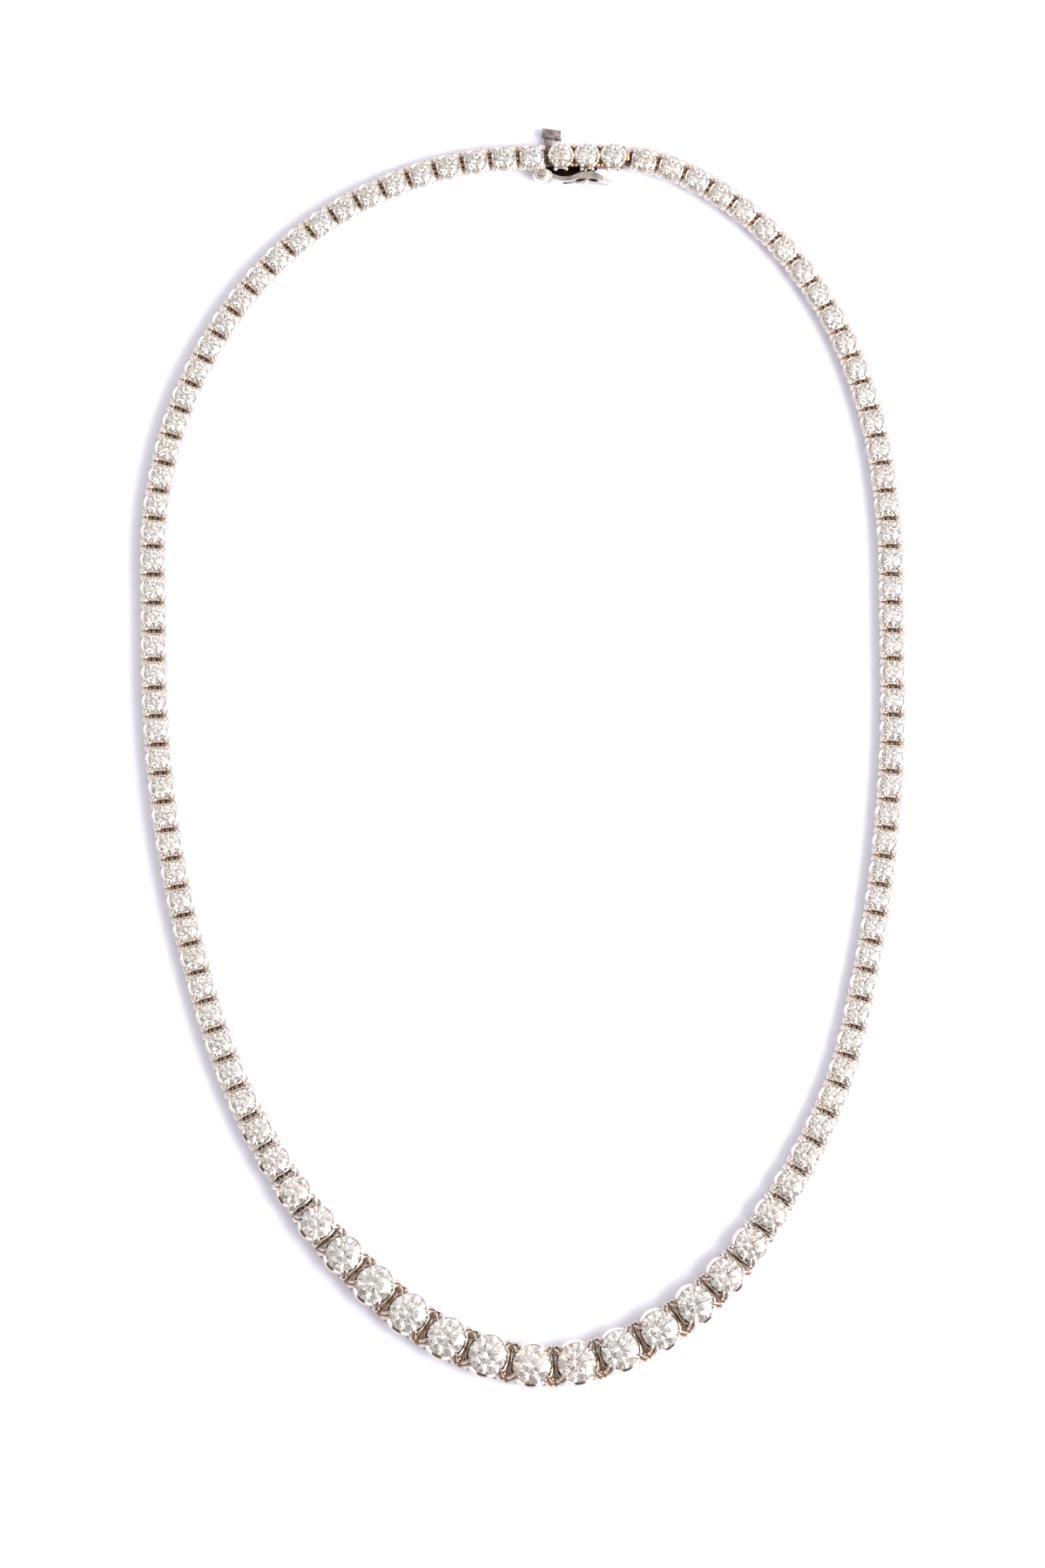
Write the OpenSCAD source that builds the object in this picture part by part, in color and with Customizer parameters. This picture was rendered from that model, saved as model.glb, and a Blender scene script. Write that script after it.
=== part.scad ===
/* [Necklace] */
// Length of the whole necklace along its centre line
necklace_length = 432; // [429:1:436]
// Distance between stone centres at the back
back_pitch = 3.85; // [3.8:0.05:3.9]
// Distance between stone centres at the middle of the front
front_pitch = 6; // [5.95:0.05:6.1]
// Number of stones from the middle of the front to where half of the grading is done
grading_span = 7; // [6:1:8]
// Place of the middle of the grading, in stones from the middle of the front
grading_middle = -0.2; // [-0.5:0.05:0.5]
// Spacing of the stones of the left side as a share of that of the right side
left_stretch = 0.998; // [0.99:0.001:1.004]

/* [Stones] */
// Diameter of the stones at the back
back_stone_d = 2.75; // [2.6:0.05:2.8]
// Diameter of the largest stone, at the middle of the front
front_stone_d = 5.2; // [5.1:0.05:5.25]
// Width of the table as a share of the diameter
table_share = 0.56; // [0.53:0.01:0.6]
// Height of the crown as a share of the diameter
crown_share = 0.15; // [0.13:0.01:0.17]
// Depth of the pavilion as a share of the diameter
pavilion_share = 0.43; // [0.41:0.01:0.44]

/* [Links] */
// Height of the hinge pins above the surface
hinge_z = 0.6; // [0.56:0.01:0.62]
// Radius of the hinge pins
pin_r = 0.15; // [0.12:0.01:0.16]
// Radius of the eye on the tongue and of the lugs of the fork
eye_r = 0.4; // [0.38:0.01:0.41]
// Half of the width of the tongue between two links
tongue_half = 0.3; // [0.25:0.01:0.32]

/* [Clasp] */
// Width of the clasp box
box_w = 2.9; // [2.7:0.1:3]
// Height of the clasp box
box_h = 1.3; // [1.25:0.05:1.35]
// Thickness of the wire of the safety catch
catch_t = 0.6; // [0.5:0.05:0.65]
// Length of the safety catch from its hinge to its tip
catch_l = 9.6; // [9.2:0.1:10]

/* [Hidden] */
// Each of the 19 largest stones and its link is a piece of its own, and the rest are the two sides
MAIN = 9;
SIDE = 51;
$fn = 48;

WHITE_GOLD = "Gainsboro";
DIAMOND = "AliceBlue";
// Clearance between loose pieces
GAP = 0.1;

// Centre line of the loop as it lies, from the middle of the front round by the right: columns X and Y
OUTLINE = [
    [1.1, -82.3], [13.3, -80.2], [25.5, -72.1], [35.2, -59.3], [42.5, -44.7], [46.4, -29.7], [49, -14.3],
    [50.4, 2], [50.5, 18], [50.1, 33.4], [47.7, 48], [42.1, 61.9], [32.4, 74.1], [19.3, 81.9],
    [4.5, 82.9], [-11, 81], [-26, 74.1], [-37.6, 63.3], [-45.9, 48.8], [-49.8, 33.4], [-50, 17.9],
    [-49.5, 2.7], [-47.7, -12.4], [-44.4, -27.5], [-39.7, -42.3], [-33.2, -55.3], [-24.2, -67.5], [-12, -77.8]];
POINTS = len(OUTLINE);
SAMPLES = 24;
// The point of the outline's frame that lies at the middle of the whole necklace
MIDDLE = [0.19, 0.94];

// A smooth closed curve through the points of the outline
function curve_point(i, t) =
    let (a = OUTLINE[(i + POINTS - 1) % POINTS], b = OUTLINE[i % POINTS],
         c = OUTLINE[(i + 1) % POINTS], d = OUTLINE[(i + 2) % POINTS])
    0.5 * (2 * b + (c - a) * t + (2 * a - 5 * b + 4 * c - d) * pow(t, 2)
           + (3 * b - a - 3 * c + d) * pow(t, 3));
RAW = [for (i = [0:POINTS - 1], j = [0:SAMPLES - 1]) curve_point(i, j / SAMPLES)];
COUNT = len(RAW);
RAW_RUN = [for (i = 0, s = 0; i <= COUNT; s = s + norm(RAW[(i + 1) % COUNT] - RAW[i % COUNT]), i = i + 1) s];
SCALE = necklace_length / RAW_RUN[COUNT];
ALONG_X = [for (i = [0:COUNT]) [RAW_RUN[i] * SCALE, RAW[i % COUNT].x * SCALE]];
ALONG_Y = [for (i = [0:COUNT]) [RAW_RUN[i] * SCALE, RAW[i % COUNT].y * SCALE]];

// Grading: 1 at the middle of the front and near 0 at the back
function grade(k) = 1 / (1 + pow(abs(k - grading_middle) / grading_span, 4));
function stone_d(k) = back_stone_d + (front_stone_d - back_stone_d) * grade(k);
function step(k) = back_pitch + (front_pitch - back_pitch) * grade(k + 0.5);
// Distances of the stones from the middle of the front, stretched to fill the loop exactly
RIGHT = [for (k = 0, s = 0; k <= SIDE; s = s + step(k), k = k + 1) s];
LEFT = [for (k = 0, s = 0; k <= SIDE; s = s + step(-k - 1) * left_stretch, k = k + 1) s];
FILL = (necklace_length - back_pitch) / (LEFT[SIDE] + RIGHT[SIDE]);
function offset_of(k) = k < 0 ? -LEFT[-k] * FILL : RIGHT[k] * FILL;
function wrap(s) = s < 0 ? s + necklace_length : s;
function on_loop(s) = [lookup(wrap(s), ALONG_X), lookup(wrap(s), ALONG_Y)] - MIDDLE;
LOOK = 0.6;
function heading(s) = let (d = on_loop(s + LOOK) - on_loop(s - LOOK)) atan2(d.y, d.x);

// The clasp is straight: its three stones stand in line, at the right of the back
CLASP = SIDE - 1;
CLASP_OFFSET = offset_of(CLASP) + 0.15;
CLASP_AT = on_loop(CLASP_OFFSET);
CLASP_TURN = heading(CLASP_OFFSET);
CLASP_PITCH = 3.6;
function spin(p, a) = [p.x * cos(a) - p.y * sin(a), p.x * sin(a) + p.y * cos(a)];
function on_clasp(p) = CLASP_AT + spin(p, CLASP_TURN);
function centre(k) = k >= CLASP - 1 ? on_clasp([(k - CLASP) * CLASP_PITCH, 0]) : on_loop(offset_of(k));
function turn(k) = k >= CLASP - 1 ? CLASP_TURN : heading(offset_of(k));

// The hinge between stone k and the next lies half-way between their centres
function between(k) = (centre(k) + centre(k + 1)) / 2;
function local(k, p) = spin(p - centre(k), -turn(k));

// Half of the distance between the centres of two neighbouring stones of diameter d
function half_pitch(d) = let (share = (d - back_stone_d) / (front_stone_d - back_stone_d))
    (back_pitch + (front_pitch - back_pitch) * share) / 2;

// Heights and radii of a setting for a stone of diameter d
function culet_z(d) = 0.26 + 0.047 * d;
function girdle_z(d) = culet_z(d) + pavilion_share * d;
function girdle_t(d) = 0.02 * d;
function rail_z(d) = girdle_z(d) - 0.13 - 0.045 * d;
function rail_h(d) = 0.13 + 0.055 * d;
function rail_r(d) = min(d / 2 + 0.36 + 0.035 * d, half_pitch(d) - 0.07);
function foot_z(d) = 0.72 + 0.05 * d;
function foot_r(d) = 0.24 + 0.3 * d;
function wall_t(d) = 0.2 + 0.05 * d;
function claw_r(d) = 0.08 + 0.028 * d;
function bead_r(d) = 0.1 + 0.036 * d;
// The clasp's settings have the top of the box in place of a foot
CLASP_LIFT = box_h - foot_z(back_stone_d);

module at_stone(k) {
    translate([centre(k).x, centre(k).y, 0]) rotate(turn(k)) children();
}

// A round brilliant: table, 8 stars, 8 kites, 16 upper facets, girdle, 16 lower facets, 8 mains
function ring(n, r, z, from) =
    [for (i = [0:n - 1]) [r * cos(from + 360 * i / n), r * sin(from + 360 * i / n), z]];
module brilliant(d) {
    r = d / 2;
    g = girdle_t(d);
    table_r = r * table_share;
    star_r = r * 0.77;
    star_z = crown_share * d * (r - star_r * cos(22.5)) / (r - table_r);
    low_r = r * 0.24;
    low_z = pavilion_share * d * (low_r * cos(22.5) / r - 1);
    points = concat(
        ring(8, table_r, g + crown_share * d, 0), ring(8, star_r, g + star_z, 22.5),
        ring(16, r, g, 0), ring(16, r, 0, 0), ring(8, low_r, low_z, 22.5),
        [[0, 0, -pavilion_share * d]]);
    table = 0;
    star = 8;
    top = 16;
    bottom = 32;
    low = 48;
    culet = 56;
    faces = concat(
        [[for (i = [7:-1:0]) table + i]],
        [for (i = [0:7]) [table + i, table + (i + 1) % 8, star + i]],
        [for (i = [0:7]) [table + i, star + i, top + 2 * i, star + (i + 7) % 8]],
        [for (i = [0:7]) [star + i, top + (2 * i + 1) % 16, top + 2 * i]],
        [for (i = [0:7]) [star + i, top + (2 * i + 2) % 16, top + 2 * i + 1]],
        [for (i = [0:15]) [top + i, top + (i + 1) % 16, bottom + (i + 1) % 16, bottom + i]],
        [for (i = [0:7]) [low + i, bottom + 2 * i, bottom + 2 * i + 1]],
        [for (i = [0:7]) [low + i, bottom + 2 * i + 1, bottom + (2 * i + 2) % 16]],
        [for (i = [0:7]) [culet, low + (i + 7) % 8, bottom + 2 * i, low + i]]);
    polyhedron(points, faces);
}

module stone(k) {
    d = stone_d(k);
    lift = k >= CLASP - 1 ? CLASP_LIFT : 0;
    color(DIAMOND) at_stone(k) translate([0, 0, girdle_z(d) + lift]) brilliant(d);
}

// Claws in pairs at the four corners, each a post that ends in a bead at the edge of the stone
CLAW_TURNS = [32, 54];
module claws(d) {
    out = d / 2 + GAP + claw_r(d);
    from = rail_z(d) - rail_h(d) + 0.04;
    tip = girdle_z(d) + girdle_t(d) + 0.8 * bead_r(d);
    for (across = [-1, 1], along = [-1, 1], a = CLAW_TURNS) {
        translate([along * out * cos(a), across * out * sin(a), from]) {
            cylinder(h = tip - from, r = claw_r(d));
            translate([0, 0, tip - from]) sphere(r = bead_r(d));
        }
    }
}

// Upper part of a setting: a flaring cup, the rail under the stone's edge, and the claws
module head(d) {
    t = wall_t(d);
    low = foot_z(d) - 0.02;
    rotate_extrude() polygon([
        [foot_r(d) - t, low], [foot_r(d), low], [foot_r(d), foot_z(d)],
        [rail_r(d), rail_z(d) - rail_h(d)], [rail_r(d), rail_z(d)],
        [rail_r(d) - t, rail_z(d)], [rail_r(d) - t, rail_z(d) - rail_h(d)], [foot_r(d) - t, foot_z(d)]]);
    claws(d);
}

// Foot of a setting: a tube with a window towards each side
module foot(d) {
    window_w = foot_r(d);
    difference() {
        cylinder(h = foot_z(d), r = foot_r(d));
        translate([0, 0, -1]) cylinder(h = 3, r = foot_r(d) - wall_t(d));
        translate([-window_w / 2, -d, 0.28]) cube([window_w, 2 * d, foot_z(d) - 0.38]);
    }
}

// Tongue from a setting to the hinge at point p of its own frame, with an eye for the neighbour's pin
module tongue(d, p) {
    reach = norm(p);
    from = foot_r(d) - wall_t(d) * 0.7;
    rotate(atan2(p.y, p.x)) difference() {
        union() {
            translate([from, -tongue_half, hinge_z - 0.17]) cube([reach - from, 2 * tongue_half, 0.34]);
            translate([reach, tongue_half, hinge_z]) rotate([90, 0, 0])
                cylinder(h = 2 * tongue_half, r = eye_r);
        }
        translate([reach, 0, hinge_z]) rotate([90, 0, 0])
            cylinder(h = 1, r = pin_r + GAP, center = true);
    }
}

// Fork from a setting to the hinge at point p of its own frame: two lugs and the pin across them
LUG_GAP = 0.22;
LUG_T = 0.24;
module fork(from, p) {
    reach = norm(p);
    inner = tongue_half + LUG_GAP;
    rotate(atan2(p.y, p.x)) {
        for (side = [-1, 1]) {
            y = side > 0 ? inner : -inner - LUG_T;
            translate([from, y, hinge_z - 0.23]) cube([reach - from, LUG_T, 0.46]);
            translate([reach, y + LUG_T, hinge_z]) rotate([90, 0, 0]) cylinder(h = LUG_T, r = eye_r);
        }
        translate([reach, inner + LUG_T / 2, hinge_z]) rotate([90, 0, 0])
            cylinder(h = 2 * inner + LUG_T, r = pin_r);
    }
}

module link(k) {
    d = stone_d(k);
    color(WHITE_GOLD) at_stone(k) {
        head(d);
        foot(d);
        tongue(d, local(k, between(k)));
        fork(foot_r(d) - 0.3 * wall_t(d) - 0.1 * d, local(k, between(k - 1)));
    }
}

// Clasp box, in a frame with its middle stone at the origin and +X towards the tongue
BOX_END = 5.2;
BOX_WALL = 0.25;
SLOT_FROM = -0.4;
BALL = [0.2, 3.5, 1.08];
BALL_R = 0.38;
POST_R = 0.2;
module in_clasp() {
    translate([CLASP_AT.x, CLASP_AT.y, 0]) rotate(CLASP_TURN) children();
}

module clasp_box() {
    d = back_stone_d;
    color(WHITE_GOLD) in_clasp() {
        difference() {
            translate([-BOX_END, -box_w / 2, 0]) cube([2 * BOX_END, box_w, box_h]);
            translate([SLOT_FROM, BOX_WALL - box_w / 2, BOX_WALL])
                cube([BOX_END - SLOT_FROM + 1, box_w - 2 * BOX_WALL, box_h - 2 * BOX_WALL]);
            for (i = [-1:1]) translate([i * CLASP_PITCH, 0, box_h - BOX_WALL - 0.35])
                cylinder(h = 1, r = foot_r(d) - wall_t(d));
        }
        for (i = [-1:1]) translate([i * CLASP_PITCH, 0, CLASP_LIFT]) head(d);
        fork(BOX_END - 0.2, local(CLASP, between(CLASP - 2)));
        translate([BALL.x, box_w / 2 - 0.1, BALL.z]) rotate([-90, 0, 0])
            cylinder(h = BALL.y - box_w / 2 + 0.1, r = POST_R);
        translate(BALL) sphere(r = BALL_R);
    }
}

module chain(first, last) {
    for (k = [first:last]) link(k);
}

module stones(first, last) {
    for (k = [first:last]) stone(k);
}

// The last link of the left side carries the tongue, its thumb tab and the hinge of the safety catch
LEAF_T = 0.12;
LEAF_HALF = 0.95;
LEAF_FROM = 0.1;
LOW_LEAF_Z = BOX_WALL + GAP;
HIGH_LEAF_Z = 0.57;
TAB_X = BOX_END + 0.2;
HINGE = [6.3, 2.6];
BARREL_R = 0.9;
CATCH_PIN_R = 0.3;
CATCH_FROM_Z = 0.43;
CATCH_TO_Z = 1.93;
module clasp_tongue() {
    d = stone_d(-SIDE);
    foot_x = norm(centre(-SIDE) - CLASP_AT);
    color(WHITE_GOLD) {
        at_stone(-SIDE) {
            head(d);
            foot(d);
            tongue(d, local(-SIDE, between(-SIDE)));
        }
        in_clasp() {
            translate([LEAF_FROM, -LEAF_HALF, LOW_LEAF_Z])
                cube([foot_x - foot_r(d) + 0.25 - LEAF_FROM, 2 * LEAF_HALF, LEAF_T]);
            translate([LEAF_FROM, -LEAF_HALF, LOW_LEAF_Z])
                cube([0.15, 2 * LEAF_HALF, HIGH_LEAF_Z + LEAF_T - LOW_LEAF_Z]);
            translate([LEAF_FROM, -LEAF_HALF, HIGH_LEAF_Z])
                cube([TAB_X + 0.6 - LEAF_FROM, 2 * LEAF_HALF, LEAF_T]);
            thumb_tab();
            catch_hinge(foot_x);
        }
    }
}

// Thumb tab: a stem out of the mouth of the box, and a flat head a little askew
module thumb_tab() {
    translate([TAB_X, -2.8, HIGH_LEAF_Z]) cube([0.6, 2.3, 0.3]);
    translate([TAB_X - 0.3, -3.25, HIGH_LEAF_Z + 0.3]) rotate([14, 0, -8])
        cube([2.6, 1.4, 0.42], center = true);
}

// An arm from the foot of the link, the pin that the catch turns on, and its head
module catch_hinge(foot_x) {
    arm_t = CATCH_FROM_Z - GAP;
    translate([HINGE.x, HINGE.y, 0]) {
        cylinder(h = arm_t, r = 0.6);
        cylinder(h = CATCH_TO_Z + GAP + 0.1, r = CATCH_PIN_R);
        translate([0, 0, CATCH_TO_Z + GAP]) cylinder(h = 0.2, r = 0.55);
        rotate(atan2(-HINGE.y, foot_x - HINGE.x)) translate([0, -0.4, 0]) cube([2, 0.8, arm_t]);
    }
}

// Safety catch: seen from the side a figure of eight, and from above a strip that waves along the box
STRIP_STEPS = 30;
LEAN = 0.4;
function strip_y(u) = HINGE.y + 0.2 + 0.03 * u + 0.33 * (1 - cos(360 * min(u, 6.3) / 6.3))
    + 0.09 * pow(max(u - 6.3, 0), 2);
function strip_t(u) = catch_t + 0.6 * pow(max(1 - u / 2.2, 0), 0.7);
function lobe_half(u) = u < 3 ? 0.8 - 0.22 * pow(u / 3, 2)
    : u < catch_l ? 0.58 + 0.22 * (1 - cos(360 * min(u - 3, 5.4) / 5.4)) / 2 - 0.05 * max(u - 6.6, 0) : 0.4;
module lobe(from, to, inset) {
    side = [for (i = [0:STRIP_STEPS])
        let (u = from + (to - from) * i / STRIP_STEPS) [u, lobe_half(u) - inset]];
    translate([HINGE.x, 6, (CATCH_FROM_Z + CATCH_TO_Z) / 2]) rotate([90, 0, 0]) mirror([1, 0, 0])
        linear_extrude(6) polygon(concat(side, [for (i = [STRIP_STEPS:-1:0]) [side[i].x, -side[i].y]]));
}
// The open length of the front window, round the ball, and of the small window beside the barrel
BALL_WINDOW = [4.6, 7.6];
SMALL_WINDOW = [1.6, 2.7];

// Puts a shape at height from and leans it towards the box above height middle
module lean(from, middle) {
    multmatrix([[1, 0, 0, 0], [0, 1, -LEAN, LEAN * (middle - from)], [0, 0, 1, from], [0, 0, 0, 1]]) children();
}

module safety_catch() {
    from_above = concat(
        [for (i = [0:STRIP_STEPS])
            let (u = catch_l * i / STRIP_STEPS) [HINGE.x - u, strip_y(u) - strip_t(u) / 2]],
        [for (i = [STRIP_STEPS:-1:0])
            let (u = catch_l * i / STRIP_STEPS) [HINGE.x - u, strip_y(u) + strip_t(u) / 2]]);
    color(WHITE_GOLD) in_clasp() difference() {
        union() {
            translate([HINGE.x, HINGE.y, CATCH_FROM_Z]) cylinder(h = CATCH_TO_Z - CATCH_FROM_Z, r = BARREL_R);
            intersection() {
                lean(CATCH_FROM_Z, (CATCH_FROM_Z + CATCH_TO_Z) / 2)
                    linear_extrude(CATCH_TO_Z - CATCH_FROM_Z) polygon(from_above);
                lobe(0, catch_l, 0);
            }
        }
        translate([HINGE.x, HINGE.y, 0]) cylinder(h = 3, r = CATCH_PIN_R + GAP);
        lobe(SMALL_WINDOW[0], SMALL_WINDOW[1], 0.36);
        lobe(BALL_WINDOW[0], BALL_WINDOW[1], 0.2);
    }
}

for (k = [-MAIN:MAIN]) {
    link(k);
    stone(k);
}
chain(1 - SIDE, -MAIN - 1);  // chain_left
chain(MAIN + 1, CLASP - 2);  // chain_right
stones(-SIDE, -MAIN - 1);  // stones_left
stones(MAIN + 1, CLASP - 2);  // stones_right
clasp_box();
stones(CLASP - 1, SIDE);  // clasp_stones
clasp_tongue();
safety_catch();
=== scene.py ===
"""A graduated line necklace of round diamonds in white gold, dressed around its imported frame."""

import math
import random
from collections import namedtuple

import bmesh
import bpy
from bpy.props import FloatProperty, FloatVectorProperty, PointerProperty
from mathutils import Matrix, Vector


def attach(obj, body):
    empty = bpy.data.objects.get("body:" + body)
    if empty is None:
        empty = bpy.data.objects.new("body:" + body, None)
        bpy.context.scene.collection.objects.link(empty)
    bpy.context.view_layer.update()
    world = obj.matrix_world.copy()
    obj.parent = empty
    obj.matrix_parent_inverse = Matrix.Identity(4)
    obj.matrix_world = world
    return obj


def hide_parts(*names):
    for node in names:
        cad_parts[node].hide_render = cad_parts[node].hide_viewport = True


bl_info = {
    "name": "Diamond line necklace",
    "version": (1, 0, 0),
    "blender": (4, 5, 0),
    "location": "3D View > Sidebar > Necklace",
    "description": "Settings, stones, box clasp and stage of a graduated diamond necklace",
    "category": "Object",
}

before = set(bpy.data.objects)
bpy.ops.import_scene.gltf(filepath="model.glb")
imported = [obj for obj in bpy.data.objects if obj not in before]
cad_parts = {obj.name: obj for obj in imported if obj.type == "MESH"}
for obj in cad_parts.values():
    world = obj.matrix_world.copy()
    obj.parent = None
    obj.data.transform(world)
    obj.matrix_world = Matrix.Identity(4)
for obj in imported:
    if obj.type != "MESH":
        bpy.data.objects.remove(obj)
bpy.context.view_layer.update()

# Everything below is worked out in millimetres, and each finished mesh is brought to metres.
MM = 0.001
METAL_BODY = "necklace"
CATCH_BODY = "safety_catch"
# The largest settings, which are CAD nodes of their own, and the steps round their cups and round the smaller ones
MAIN = 19
MAIN_STEPS = 36
SIDE_STEPS = 24
BOX_STONES = 3
# Height of the pins between the links
HINGE_Z = 0.6

Seat = namedtuple("Seat", "x y turn d culet ahead behind")


# Places of the stones, read from the frame

def loose_stones(node):
    """Middle, diameter and lowest point of each loose stone of a CAD node."""
    bm = bmesh.new()
    bm.from_mesh(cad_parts[node].data)
    bmesh.ops.remove_doubles(bm, verts=bm.verts, dist=1e-6)
    left = set(bm.verts)
    found = []
    for first in bm.verts:
        if first not in left:
            continue
        left.remove(first)
        reach, island = [first], []
        while reach:
            v = reach.pop()
            island.append(v.co / MM)
            for e in v.link_edges:
                other = e.other_vert(v)
                if other in left:
                    left.remove(other)
                    reach.append(other)
        middle = sum(island, Vector()) / len(island)
        middle.z = min(p.z for p in island)
        d = 2 * max((p.xy - middle.xy).length for p in island)
        found.append((middle, d))
    bm.free()
    return found


def follow(start, stones):
    """The stones in the order in which they follow each other from a place."""
    left, out = list(stones), []
    while left:
        nearest = min(left, key=lambda s: (s[0].xy - start.xy).length)
        left.remove(nearest)
        out.append(nearest)
        start = nearest[0]
    return out


def read_seats():
    """Every setting round the loop, from the clasp's tongue by the left, the front and the right to the box, and
    the number of the first one of the front."""
    front = [loose_stones(f"main_stone_{i + 1}")[0] for i in range(MAIN)]
    left = follow(front[0][0], loose_stones("stones_left"))
    right = follow(front[-1][0], loose_stones("stones_right"))
    box = follow(right[-1][0], loose_stones("clasp_stones"))
    line = left[::-1] + front + right + box
    count = len(line)
    seats = []
    for i, (at, d) in enumerate(line):
        before, after = line[i - 1][0], line[(i + 1) % count][0]
        way = after.xy - before.xy
        if i >= count - BOX_STONES:
            way = line[-1][0].xy - line[-BOX_STONES][0].xy
        turn = math.atan2(way.y, way.x)
        unturn = Matrix.Rotation(-turn, 2)
        ahead = unturn @ ((after.xy - at.xy) / 2)
        behind = unturn @ ((before.xy - at.xy) / 2)
        seats.append(Seat(at.x, at.y, turn, d, at.z, ahead, behind))
    return seats, len(left)


SEATS, FRONT_FROM = read_seats()
BOX_FROM = len(SEATS) - BOX_STONES
CLASP = SEATS[BOX_FROM + 1]


def colour_value(name, description, default):
    return FloatVectorProperty(name=name, description=description, default=default, subtype="COLOR", min=0, max=1)


def number_value(name, description, default, low, high, **kind):
    return FloatProperty(name=name, description=description, default=default, min=low, max=high, **kind)


def share_value(name, description, default, low=0, high=1):
    return number_value(name, description, default, low, high, subtype="FACTOR")


class StoneSizes(bpy.types.PropertyGroup):
    table: share_value("Table", "Width of the table as a share of the diameter", 0.56, 0.5, 0.65)
    crown: share_value("Crown", "Height of the crown as a share of the diameter", 0.15, 0.1, 0.2)
    pavilion: share_value("Pavilion", "Depth of the pavilion as a share of the diameter", 0.43, 0.4, 0.45)
    girdle: share_value("Girdle", "Thickness of the girdle as a share of the diameter", 0.02, 0.005, 0.04)
    tilt: number_value("Unevenness", "How far a stone may sit out of level", math.radians(2.0), 0, math.radians(5),
                       subtype="ANGLE")
    white: colour_value("White stones", "Body colour of the whitest stones", (1.0, 0.985, 0.98))
    warm: colour_value("Warm stones", "Body colour of the stones with a faint yellow tint", (1.0, 0.965, 0.93))
    cool: colour_value("Cool stones", "Body colour of the stones with a faint grey tint", (0.96, 0.97, 0.965))


class MetalFinish(bpy.types.PropertyGroup):
    polish: colour_value("Polished gold", "Colour of the polished white gold", (0.90, 0.875, 0.86))
    # The next three colours are painted shade: the greyer gold of shaded claws, the warm gold of shade and reflected
    # light in the gaps between links, and the dark gold of deep shadow beside the clasp box
    claws: colour_value("Gold of the claws", "Colour of the greyer gold beside the joints", (0.56, 0.49, 0.44))
    gap_shade: colour_value("Gold in the joints", "Colour of the warm, dark gold between the links", (0.60, 0.44, 0.32))
    brushed: colour_value("Brushed gold", "Colour of the brushed tops of tab and catch", (0.55, 0.50, 0.465))
    dark: colour_value("Dark gold", "Colour of the darkened gold beside the clasp box", (0.035, 0.018, 0.016))
    rosy: colour_value("Rosy gold", "Colour of the plates between the clasp's stones", (0.80, 0.52, 0.33))
    rough: share_value("Roughness", "Roughness of the polished gold", 0.16)


class StageSettings(bpy.types.PropertyGroup):
    floor: colour_value("Floor", "Colour of the floor", (0.80, 0.82, 0.94))
    sky: colour_value("Fill", "Colour of the soft light from all sides", (1.0, 0.945, 0.905))
    fill: number_value("Fill strength", "Strength of the soft light from all sides", 0.95, 0, 5)
    lamp: number_value("Lamp", "Power of the large lamp on the right", 17.0, 0, 200, unit="POWER")
    distance: number_value("Camera distance", "Distance of the camera from the middle of the view", 0.8, 0.2, 5,
                           unit="LENGTH")
    pixel: number_value("Pixel", "Width of one pixel of the 1800 pixel high image on the floor", 0.000118, 0.00005,
                        0.001, unit="LENGTH", precision=6)


# Shapes

def carry(bm, outline, stations):
    """Carries a closed outline through the stations, each a matrix, and closes both ends."""
    ring = [bm.verts.new(stations[0] @ p) for p in outline]
    bm.faces.new(ring)
    for place in stations[1:]:
        edges = [bm.edges.get((a, b)) for a, b in zip(ring, ring[1:] + ring[:1])]
        fresh = {v for v in bmesh.ops.extrude_edge_only(bm, edges=edges)["geom"] if isinstance(v, bmesh.types.BMVert)}
        ring = [next(e.other_vert(v) for e in v.link_edges if e.other_vert(v) in fresh) for v in ring]
        for v, p in zip(ring, outline):
            v.co = place @ p
    bm.faces.new(ring)


def round_outline(sides):
    """A circle of radius 1 across the way of travel."""
    return [Vector((0, math.cos(2 * math.pi * i / sides), math.sin(2 * math.pi * i / sides))) for i in range(sides)]


def along(points, radii):
    """Stations along a path, each facing the way of the path there and scaled to its radius."""
    stations = []
    for i, (p, r) in enumerate(zip(points, radii)):
        way = (points[min(i + 1, len(points) - 1)] - points[max(i - 1, 0)]).normalized()
        side = Vector((0, 0, 1)).cross(way)
        side = side.normalized() if side.length > 1e-6 else Vector((0, 1, 0))
        up = way.cross(side)
        turn = Matrix((way, side, up)).transposed().to_4x4()
        stations.append(Matrix.Translation(p) @ turn @ Matrix.Diagonal((r, r, r, 1)))
    return stations


def revolve(bm, profile, steps, closed=False):
    """Spins a profile of (radius, height) round the upright axis."""
    verts = [bm.verts.new((r, 0, z)) for r, z in profile]
    pairs = list(zip(verts, verts[1:]))
    if closed:
        pairs.append((verts[-1], verts[0]))
    edges = [bm.edges.new(p) for p in pairs]
    bmesh.ops.spin(bm, geom=verts + edges, cent=(0, 0, 0), axis=(0, 0, 1), angle=2 * math.pi,
                   steps=steps, use_merge=True, use_duplicate=False)


def wire_ring(bm, radius, wire, z, steps, sides=8):
    """A ring of round wire."""
    revolve(bm, [(radius + wire * math.cos(2 * math.pi * i / sides), z + wire * math.sin(2 * math.pi * i / sides))
                 for i in range(sides)], steps, closed=True)


def round_edges(bm, edges, width):
    """Rounds edges in two steps."""
    bmesh.ops.bevel(bm, geom=edges, offset=width, offset_type="OFFSET", segments=2, profile=0.5, affect="EDGES",
                    material=-1, clamp_overlap=True)


def edges_at(verts):
    """The edges at some points, each one once and always in the same order."""
    return list(dict.fromkeys(e for v in verts for e in v.link_edges))


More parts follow.
